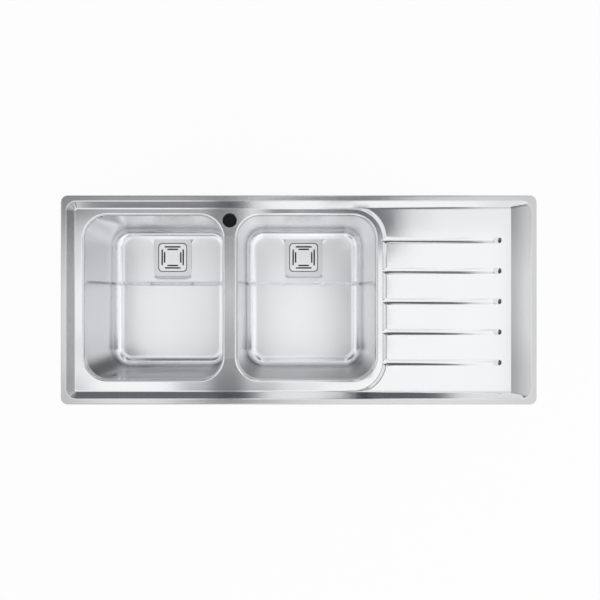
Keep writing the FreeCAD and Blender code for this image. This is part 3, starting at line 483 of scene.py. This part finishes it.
def wall_profile(y):
    """A bowl's wall at y as inset and height, from the deck down to the floor."""
    lean = math.atan(LEAN)
    bend_x = BEND * LEAN - BEND / math.cos(lean)
    rows = []
    for step in range(9):
        turn = (math.pi / 2 - lean) * step / 8
        rows.append((bend_x + BEND * math.sin(turn), DECK - BEND + BEND * math.cos(turn)))
    turn_z = floor_height(y) + FLOOR_BEND
    stand = shelf(y)
    for depth in WALL_DEPTHS:
        inset = depth * LEAN + stand * min(1, max(0, (depth - BEND) / SHELF_RUN))
        rows.append((inset, DECK - depth))
    centre = (DECK - turn_z) * LEAN + stand + FLOOR_BEND / math.cos(lean)
    for step in range(17):
        turn = lean + (math.pi / 2 - lean) * step / 16
        rows.append((centre - FLOOR_BEND * math.cos(turn), turn_z - FLOOR_BEND * math.sin(turn)))
    return rows


# Row of the wall's profile at which the deck's sheet ends and the bowl's begins
SEAM_ROW = 11

# How far inside its outline, or outside the drainer's edge, each line of points runs
FOLD_LINES = (-2, -1.5, -1, -0.5, 0, 0.5, 1, 1.5, 2.5, 5, 7, 9, 11, 13,
              14.4, 15, 15.7, 16.4, 17, 17.6, 18.3, 19, 20.5)
FLOOR_LINES = (-1, -0.5, 0, 0.5, 1, 2.5, 4, 4.5, 5, 5.5, 6)
EDGE_LINES = (-1.7, -1.1, -0.5, 0, 0.5, 1.1, 1.7, 3, 4.5, 6, 6.8, 7.3, 7.8, 8.3, 8.9, 10)
SHOULDER_LINES = (-1.4, -0.7, 0, 0.7, 1.4, 2.8, 4, 4.6, 5.2)
GROOVE_LINES = (0, 1.5, 3, 4.5, 5.8, 7, 7.8, 8.5, 9.2, 9.9, 10.6, 11.4, 12.4, 14)
RAMP_LINES = (515, 516.6, 517.4, 518.6, 519.4, 521, 564.5, 565.5, 566.5)

# Where along X the lines along the grooves and the shoulders have their points
GROOVE_PLACES = ([201.5 + 1.5 * n for n in range(16)] + [228 + 7 * n for n in range(37)]
                 + [475 + n for n in range(25)])
SHOULDER_PLACES = range(206, 567, 4)
LINE_STEP = 7.9


# Points of a filled region join within this length, and those of a sheet at this many decimals
JOIN_WITHIN = 1e-5
JOIN_DECIMALS = 3

# How height shifts a sheet's texture map, so that steep walls have an area in it too
MAP_LEAN = (0.37, 0.61)


def stations(half, corner, spacing, extra=()):
    """Places along a straight side, closer together where extra ones are given."""
    reach = half - corner
    count = max(2, round(2 * reach / spacing))
    places = {round(-reach + 2 * reach * step / count, 4) for step in range(count + 1)}
    places |= {place for place in extra if abs(place) < reach - 0.5}
    return sorted(places)


def loop_frame(half, corner, xs, ys, arc):
    """Points of a rounded rectangle with the way out of it at each."""
    reach_x, reach_y = half[0] - corner, half[1] - corner
    points = [(half[0], y, 1, 0) for y in ys]
    for sign_x, sign_y, first in ((1, 1, 0), (-1, 1, 1), (-1, -1, 2), (1, -1, 3)):
        for step in range(1, arc):
            turn = math.pi / 2 * (first + step / arc)
            out = (math.cos(turn), math.sin(turn))
            points.append((sign_x * reach_x + corner * out[0],
                           sign_y * reach_y + corner * out[1], *out))
        if first == 0:
            points += [(x, half[1], 0, 1) for x in reversed(xs)]
        if first == 1:
            points += [(-half[0], y, -1, 0) for y in reversed(ys)]
        if first == 2:
            points += [(x, -half[1], 0, -1) for x in xs]
    return points


def inset_loop(points, inset):
    """A frame's loop, moved inwards by a length."""
    return [(x - inset * nx, y - inset * ny) for x, y, nx, ny in points]


class Skin:
    """A surface of points with their normals, later given the sheet's thickness."""

    def __init__(self):
        self.points = []
        self.normals = []
        self.faces = []

    def add(self, points, normals):
        first = len(self.points)
        self.points += points
        self.normals += normals
        return first

    def loft(self, rings, level_first=False, level_last=False):
        """Rings of equal length joined by four-sided faces, normals from the neighbours."""
        count = len(rings[0])
        normals = []
        for row, line in enumerate(rings):
            before, after = rings[max(row - 1, 0)], rings[min(row + 1, len(rings) - 1)]
            for spot in range(count):
                along = Vector(line[(spot + 1) % count]) - Vector(line[spot - 1])
                down = Vector(after[spot]) - Vector(before[spot])
                level = (level_first and row == 0) or (level_last and row == len(rings) - 1)
                normals.append(Vector((0, 0, 1)) if level else along.cross(down).normalized())
        first = self.add([tuple(p) for line in rings for p in line], normals)
        for row in range(len(rings) - 1):
            for spot in range(count):
                a = first + row * count + spot
                b = first + row * count + (spot + 1) % count
                self.faces.append((a, b, b + count, a + count))
        return first

    def fill(self, outer, holes, spots, height, lines=()):
        """A level region inside a loop and round its holes, raised to a height."""
        flat = []
        edges = []
        for loop in [outer, *holes, *lines]:
            first = len(flat)
            flat += loop
            edges += [(first + n, first + (n + 1) % len(loop)) for n in range(len(loop))]
        flat += spots
        flat = [Vector(p) for p in flat]
        corners, _, triangles, *_ = delaunay_2d_cdt(flat, edges, [], 0, JOIN_WITHIN)
        step = 0.02
        points, normals = [], []
        for x, y in corners:
            points.append((x, y, height(x, y)))
            tilt_x = (height(x + step, y) - height(x - step, y)) / (2 * step)
            tilt_y = (height(x, y + step) - height(x, y - step)) / (2 * step)
            normals.append(Vector((-tilt_x, -tilt_y, 1)).normalized())
        first = self.add(points, normals)
        for triangle in triangles:
            a, b, c = (corners[n] for n in triangle)
            middle = (a + b + c) / 3
            if inside(middle, outer) and not any(inside(middle, hole) for hole in holes):
                turned = (b - a).cross(c - a) < 0
                order = reversed(triangle) if turned else triangle
                self.faces.append(tuple(first + n for n in order))

    def shift(self, x, y):
        self.points = [(px + x, py + y, pz) for px, py, pz in self.points]


def inside(point, loop):
    """Whether a point is inside a closed loop."""
    x, y = point
    odd = False
    for (x1, y1), (x2, y2) in zip(loop, loop[1:] + loop[:1]):
        if (y1 > y) != (y2 > y) and x < (x2 - x1) * (y - y1) / (y2 - y1) + x1:
            odd = not odd
    return odd


def joined(skin):
    """A skin's points, normals and faces, with points in the same place made one."""
    merged, index = {}, []
    points, normals = [], []
    for point, normal in zip(skin.points, skin.normals):
        key = tuple(round(value, JOIN_DECIMALS) for value in point)
        if key not in merged:
            merged[key] = len(points)
            points.append(point)
            normals.append(normal.copy())
        index.append(merged[key])
    faces = []
    for face in skin.faces:
        turned = list(dict.fromkeys(index[n] for n in face))
        if len(turned) > 2:
            faces.append(turned)
    return points, normals, faces


def open_edges(faces):
    """The edges that have a face on one side only."""
    edges = dict.fromkeys((a, b) for face in faces for a, b in zip(face, face[1:] + face[:1]))
    return [(a, b) for a, b in edges if (b, a) not in edges]


def sheet(name, skin, body, node):
    """An object from a skin: its face, its underside and the cut edges between them."""
    points, normals, faces = joined(skin)
    count = len(points)
    under = [tuple(Vector(p) - n * SHEET) for p, n in zip(points, normals)]
    all_points = points + under
    all_normals = normals + [-n for n in normals]
    all_faces = [tuple(face) for face in faces]
    all_faces += [tuple(n + count for n in reversed(face)) for face in faces]
    for a, b in open_edges(faces):
        first = len(all_points)
        corner_points = [all_points[b], all_points[a], under[a], under[b]]
        flat = (Vector(corner_points[1]) - Vector(corner_points[0])).cross(
            Vector(corner_points[3]) - Vector(corner_points[0])).normalized()
        all_points += corner_points
        all_normals += [flat] * 4
        all_faces.append((first, first + 1, first + 2, first + 3))
    mesh = bpy.data.meshes.new(name)
    mesh.from_pydata([tuple(value * MM for value in p) for p in all_points], [], all_faces)
    for polygon in mesh.polygons:
        polygon.use_smooth = True
    layer = mesh.uv_layers.new(name="sheet")
    for loop in mesh.loops:
        spot = mesh.vertices[loop.vertex_index].co
        layer.data[loop.index].uv = (spot.x + spot.z * MAP_LEAN[0], spot.y + spot.z * MAP_LEAN[1])
    mesh.normals_split_custom_set_from_vertices(all_normals)
    made = bpy.data.objects.new(name, mesh)
    bpy.context.collection.objects.link(made)
    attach(made, body)
    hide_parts(node)
    return made


def bowl_loop():
    """A bowl's opening, with its points closer together beside the floor's step."""
    near_step = [STEP_FOOT + 3 - step for step in range(15)]
    xs = stations(BOWL_HALF[0], BOWL_CORNER, 14)
    ys = stations(BOWL_HALF[1], BOWL_CORNER, 14, near_step)
    return loop_frame(BOWL_HALF, BOWL_CORNER, xs, ys, 16)


def wall_rings(first, last):
    """Rings of a bowl's wall between two rows of its profile."""
    frame_points = bowl_loop()
    rings = []
    for row in range(first, last + 1):
        ring = []
        for x, y, nx, ny in frame_points:
            inset, height = wall_profile(y)[row]
            ring.append((x - inset * nx, y - inset * ny, height))
        rings.append(ring)
    return rings


def circle(x, y, radius, count):
    turns = [2 * math.pi * n / count for n in range(count)]
    return [(x + radius * math.cos(a), y + radius * math.sin(a)) for a in turns]


def make_bowl(side):
    """A bowl's sheet below the seam, with its floor and waste recess."""
    skin = Skin()
    rings = wall_rings(SEAM_ROW, len(wall_profile(0)) - 1)
    skin.loft(rings, level_last=True)
    outer = [(x, y) for x, y, _ in rings[-1]]
    hole = circle(0, WASTE_Y, WASTE_HOLE, 64)
    spots = [(8 * n, STEP_FOOT + 5 - line) for line in range(17) for n in range(-16, 17)]
    # These lines lie round the bowl's middle. The recess is WASTE_Y behind it, so its edges
    # are coarser than they could be.
    sides = stations(RECESS_HALF, RECESS_CORNER, 10)
    square = loop_frame((RECESS_HALF, RECESS_HALF), RECESS_CORNER, sides, sides, 8)
    lines = [inset_loop(square, inset) for inset in FLOOR_LINES]
    skin.fill(outer, [hole], spots, basin_height, lines)
    skin.shift(BOWL_X[side], BOWL_Y)
    made = sheet(f"bowl_skin_{side}", skin, "root", f"bowl_{side}")
    made.data.materials.append(bowl_steel)
    return made


def ramp_outline():
    """A line round the ramp, so that its finish, which carries painted shade, ends along the
    edges of triangles.
    """
    ends = [RAMP_X + (FOLD_HALF[0] - RAMP_X) * n / 6 for n in range(7)]
    right = [(FOLD_HALF[0], 229 - LINE_STEP * n) for n in range(59)]
    left = [(RAMP_X, -217 + LINE_STEP * n) for n in range(56)]
    back = [(x, RAMP_FOOT + ramp_reach(x)) for x in ends]
    front = [(x, -y) for x, y in reversed(back)]
    return back + right + front + left


def rim_rings():
    """Rings of the rim's rolled edge, from its cut edge up to its level top."""
    edge = loop_frame(RIM_HALF, RIM_CORNER, stations(RIM_HALF[0], RIM_CORNER, 10),
                      stations(RIM_HALF[1], RIM_CORNER, 10), 10)
    turns = [math.pi / 2 * step / 6 for step in range(7)]
    rows = [(0, 0), (0, 0.75)]
    rows += [(ROLL - ROLL * math.cos(a), RIM_TOP - ROLL + ROLL * math.sin(a)) for a in turns]
    return [[(x - e * nx, y - e * ny, z) for x, y, nx, ny in edge] for e, z in rows]


def drainer_spots():
    """Points along the drainer's bends and grooves, for the deck's triangles."""
    spots = []
    edge = loop_frame(EDGE_HALF, EDGE_CORNER, stations(EDGE_HALF[0], EDGE_CORNER, 4),
                      stations(EDGE_HALF[1], EDGE_CORNER, 4), 28)
    for out in EDGE_LINES:
        spots += [(x, y) for x, y in inset_loop(edge, -out)
                  if x > DRAINER_FROM + 2 and abs(y) < FOLD_HALF[1] - 3]
    for place in GROOVES:
        for across in GROOVE_LINES:
            for sign in ((1,) if across == 0 else (1, -1)):
                spots += [(x, place + sign * across) for x in GROOVE_PLACES]
    for x in RAMP_LINES:
        spots += [(x, y * 8) for y in range(-29, 30)]
    return spots


def shoulder_spots():
    """Points along the drainer's shoulders at the back and front."""
    return [(x, sign * (SHOULDER + out + ramp_reach(x)))
            for out in SHOULDER_LINES for sign in (-1, 1) for x in SHOULDER_PLACES]


def deck_finish(x, y, tilt):
    """The finish of a face of the deck, by its middle and the X of its normal; the left slope,
    the ramp and the dimples' walls get finishes with painted shade.
    """
    if rounded_distance(x, y, FOLD_HALF, FOLD_CORNER) > 0:
        return rim_steel
    # Painted shade: the left slope takes a darker finish.
    if x < LEFT_SLOPE:
        return left_slope_shade_steel
    if abs(x - TAP[0]) < LAND_HALF[0] and abs(y - BOWL_Y) < LAND_HALF[1]:
        return cross_steel
    if x > RAMP_X and abs(y) < RAMP_FOOT + ramp_reach(x):
        return ramp_steel
    # Painted shade on the dimples' walls that face left.
    if DIMPLE_SHADE_FROM < x - GROOVE_END < DIMPLE_SHADE_TO and tilt < DIMPLE_SHADE_TILT:
        return dimple_shade_steel
    return deck_steel


def make_deck():
    """The pressed top sheet: rim, deck and drainer, and the bowls' walls down to the seams."""
    skin = Skin()
    rings = rim_rings()
    skin.loft(rings, level_last=True)
    outer = [(x, y) for x, y, _ in rings[-1]]
    holes = []
    for x in BOWL_X.values():
        wall = [[(px + x, py + BOWL_Y, pz) for px, py, pz in ring]
                for ring in wall_rings(0, SEAM_ROW)]
        skin.loft(wall, level_first=True)
        holes.append([(px, py) for px, py, _ in wall[0]])
    holes.append(circle(*TAP, 48))
    fold = loop_frame(FOLD_HALF, FOLD_CORNER, stations(FOLD_HALF[0], FOLD_CORNER, 9),
                      stations(FOLD_HALF[1], FOLD_CORNER, 9), 12)
    lines = [inset_loop(fold, inset) for inset in FOLD_LINES] + [ramp_outline()]
    spots = drainer_spots() + shoulder_spots()
    clear = [spot for spot in spots if not any(inside(spot, hole) for hole in holes)]
    skin.fill(outer, holes, clear, deck_height, lines)
    made = sheet("deck_skin", skin, "root", "deck_top")
    finishes = [deck_steel, cross_steel, ramp_steel, rim_steel, left_slope_shade_steel, dimple_shade_steel]
    for finish in finishes:
        made.data.materials.append(finish)
    for polygon in made.data.polygons:
        x, y, _ = polygon.center / MM
        polygon.material_index = finishes.index(deck_finish(x, y, polygon.normal.x))
    return made


# Finishes

deck_steel = brushed_sheet("satin deck, grain along", "X", 0.80, 0.12, 0.3)
cross_steel = brushed_sheet("satin deck, grain across", "Y", 0.74, 0.24, 0.6)
# The ramp's darker tones are painted shade.
ramp_steel = shaded_ramp("coarse ramp, grain across, painted shade", 0.30, 0.67, 0.34)
# Near-black painted shade for the dimples' walls.
dimple_shade_steel = brushed_sheet("painted shade on dimple walls", "Y", 0.12, 0.3, 0.1)
rim_steel = brushed_sheet("satin rim", "X", 0.67, 0.2, 0.4)
# The left slope's low tone is painted shade.
left_slope_shade_steel = brushed_sheet("satin left slope, grain across, painted shade", "Y", 0.55, 0.2, 0.5)
bowl_steel = drawn_bowl("satin bowl, painted wall shade", 0.985, 0.66, 0.23, 0.31)
flange_steel = deep_pressing("satin flange", 0.80, 0.06, WELL_DARK * MM)
cover_steel = brushed_sheet("bright strainer", "Y", 0.94, 0.34, 0.1)
zinc = plated_steel("bright zinc", 0.62, 0.24)
foam = moulded("closed cell foam", grey(0.02), grey(0.05), 0.8, 1400, 0.0006)
damping = moulded("damping sheet", grey(0.035), grey(0.06), 0.7, 700, 0.0003)
rubber = moulded("black rubber", grey(0.012), grey(0.03), 0.5, 1200, 0.0002)
hub_white = moulded("white moulding", (0.62, 0.62, 0.6, 1), (0.72, 0.72, 0.7, 1),
                    0.35, 900, 0.0001)
plug_black = moulded("black moulding", grey(0.02), grey(0.035), 0.3, 800, 0.0001)
foot_black = moulded("grained moulding", grey(0.025), grey(0.05), 0.45, 1600, 0.0003)

BY_SLOT = {"deck_steel": deck_steel, "bowl_steel": bowl_steel, "flange_steel": flange_steel,
           "strainer_steel": cover_steel, "zinc_steel": zinc, "foam": foam, "damping": damping,
           "rubber": rubber, "hub_plastic": hub_white, "plug_plastic": plug_black,
           "foot_plastic": foot_black}
for part in record["subparts"]:
    node = frame["nodes"][part["node"]]
    node.data.materials.clear()
    node.data.materials.append(BY_SLOT[part["material_slot"]])

make_deck()
for side in BOWL_X:
    make_bowl(side)


# Floor, light and camera


def stage_plane(name, low, high, height):
    mesh = bpy.data.meshes.new(name)
    corners = [(low[0], low[1], height), (high[0], low[1], height),
               (high[0], high[1], height), (low[0], high[1], height)]
    mesh.from_pydata(corners, [], [(0, 1, 2, 3)])
    made = bpy.data.objects.new(name, mesh)
    bpy.context.collection.objects.link(made)
    return made


def cover_from_above(finish, shader):
    """A stage surface that is only there from above, so the part can be seen from below."""
    below = finish.node("NewGeometry", output=6)
    clear = finish.node("BsdfTransparent")
    mixed = finish.node("MixShader", {}, {0: below, 1: shader, 2: clear})
    finish.node("OutputMaterial", {}, {"Surface": mixed})


floor = stage_plane("studio_floor", (-8, -8), (8, 8), cad_box[0][2] - 0.001)
floor_paper, paper = material("white paper")
plain = paper.node("BsdfDiffuse", {}, {
    "Color": paper.tint(paper.noise(3), grey(0.88), grey(0.9))})
bright = paper.node("Emission", {}, {"Color": grey(1), "Strength": 1.0})
seen = paper.node("LightPath")
cover_from_above(paper, paper.node("MixShader", {}, {0: seen * 0.94, 1: plain, 2: bright}))
floor.data.materials.append(floor_paper)

# A sky at a plain level, a little duller low down at the sides and back, and white to the camera
world = bpy.data.worlds.new("studio")
bpy.context.scene.world = world
world.use_nodes = True
sky = Finish(world.node_tree)
seen = sky.node("LightPath")
across, back, up = sky.node("TexCoord").axes()
dim_side = abs(across).at_least(back).turn(0.6, 0.85, 0.0, 0.12)
level = up.turn(0.25, 0.75, 0.98, 0.97) - dim_side * up.turn(0.3, 0.6, 1.0, 0.0)
sky.node("OutputWorld", {}, {"Surface": sky.node("Background", {}, {
    0: grey(1), 1: seen.at_least(level)})})

# A dark disc under the tap hole, a little wider than the hole: painted shade that stands for the
# darkness seen down the hole
DISC_DEPTH = -12
DISC_COUNT = 48
disc = bpy.data.meshes.new("tap_hole_shade_card")
edge = circle(TAP[0], TAP[1], TAP[2] + 4, DISC_COUNT)
disc.from_pydata([(x * MM, y * MM, DISC_DEPTH * MM) for x, y in edge], [],
                 [tuple(range(DISC_COUNT))])
tap_hole_shade_card = bpy.data.objects.new("tap_hole_shade_card", disc)
bpy.context.collection.objects.link(tap_hole_shade_card)
tap_hole_shade_black, card = material("black card, painted shade under tap hole")
cover_from_above(card, card.node("BsdfDiffuse", {}, {
    "Color": card.tint(card.noise(50), grey(0.015), grey(0.03))}))
tap_hole_shade_card.data.materials.append(tap_hole_shade_black)

# Dark cloths hung over the set, which the bright steel mirrors and the camera doesn't see.
# For each one its name and height, and for each patch its low and high corner, the softness
# of its edges and how dark it is. The ones hung lower are narrow, for the land, the left
# slope and the ends of the grooves.
CLOTHS = [
    ("overhead_cloths", 1.34, [
        ((-1.50, 0.38), (-0.38, 0.80), 0.10, 0.55),
        ((-1.55, 0.14), (-1.12, 0.80), 0.14, 0.35),
        ((-0.15, 0.40), (0.01, 0.53), 0.05, 0.80),
        ((0.02, 0.40), (0.36, 0.62), 0.08, 0.72),
        ((0.30, 0.26), (0.55, 0.62), 0.08, 0.80),
        ((-1.50, -0.66), (-1.10, -0.42), 0.06, 0.40),
        ((-0.62, -0.66), (-0.08, -0.42), 0.08, 0.42),
        ((-2.20, 0.78), (-0.20, 2.60), 0.08, 0.86),
        ((0.34, 0.62), (0.98, 2.60), 0.06, 0.88),
        ((0.98, 1.06), (1.15, 2.60), 0.06, 0.88),
        ((1.15, 0.62), (1.42, 0.82), 0.05, 0.80),
        ((-1.35, -1.60), (-0.30, -0.85), 0.08, 0.78)]),
    ("low_cloths", 0.6, [
        ((-0.32, -0.42), (-0.19, 0.42), 0.03, 0.62),
        ((0.12, -0.30), (0.24, 0.28), 0.03, 0.36)]),
    ("edge_cloth", 0.12, [((0.16, -0.21), (0.20, 0.12), 0.01, 0.60)])]
CLOTH_MARGIN = 0.2


def hang_cloths(name, height, patches):
    low = [min(patch[0][axis] for patch in patches) - CLOTH_MARGIN for axis in (0, 1)]
    high = [max(patch[1][axis] for patch in patches) + CLOTH_MARGIN for axis in (0, 1)]
    cloth = stage_plane(name, low, high, height)
    cloth_black, weave = material(name)
    across, along, _ = weave.place().axes()
    open_air = 1.0
    for low, high, soft, darkness in patches:
        mask = across.window(low[0], high[0], soft) * along.window(low[1], high[1], soft)
        open_air = (1.0 - mask * darkness) * open_air
    hidden = 1.0 - weave.node("LightPath")
    dark = weave.node("BsdfDiffuse", {}, {"Color": weave.tint(
        weave.noise(300), (0.01, 0.012, 0.025, 1), (0.02, 0.024, 0.05, 1))})
    clear = weave.node("BsdfTransparent")
    mixed = weave.node("MixShader", {}, {0: hidden * (1.0 - open_air), 1: clear, 2: dark})
    weave.node("OutputMaterial", {}, {"Surface": mixed})
    cloth.data.materials.append(cloth_black)


for cloth in CLOTHS:
    hang_cloths(*cloth)

# Weak rectangular lamps that face down: low and high corner, and the glow they add to the sky
LAMP_HEIGHT = 1.3
SOFT_BOXES = {
    "left_box": ((-1.22, -0.2), (-0.52, 0.42), 0.14),
    "left_front_box": ((-1.2, -0.64), (-0.62, -0.36), 0.2),
    "right_box": ((0.45, -0.3), (1.12, 0.35), 0.2),
    "right_front_box": ((0.15, -0.55), (1.12, -0.3), 0.2),
    "right_back_box": ((0.72, 0.35), (1.15, 0.7), 0.1),
    "right_bowl_box": ((-0.12, -0.42), (0.34, 0.2), 0.26),
    "front_box": ((-0.15, -1.7), (1.2, -0.85), 0.2)}
for name, (low, high, glow) in SOFT_BOXES.items():
    lamp = bpy.data.lights.new(name, "AREA")
    lamp.shape = "RECTANGLE"
    lamp.size = high[0] - low[0]
    lamp.size_y = high[1] - low[1]
    lamp.energy = glow * math.pi * lamp.size * lamp.size_y
    hung = bpy.data.objects.new(name, lamp)
    hung.location = ((low[0] + high[0]) / 2, (low[1] + high[1]) / 2, LAMP_HEIGHT)
    bpy.context.collection.objects.link(hung)

camera_data = bpy.data.cameras.new("camera")
camera_data.sensor_width = 36
camera_data.lens = 27.3
camera_data.shift_x = 0.02
camera_data.shift_y = -0.0083
camera = bpy.data.objects.new("camera", camera_data)
camera.location = (-0.026, 0.012, 1.1115)
bpy.context.collection.objects.link(camera)
bpy.context.scene.camera = camera
bpy.context.scene.view_settings.view_transform = "Standard"
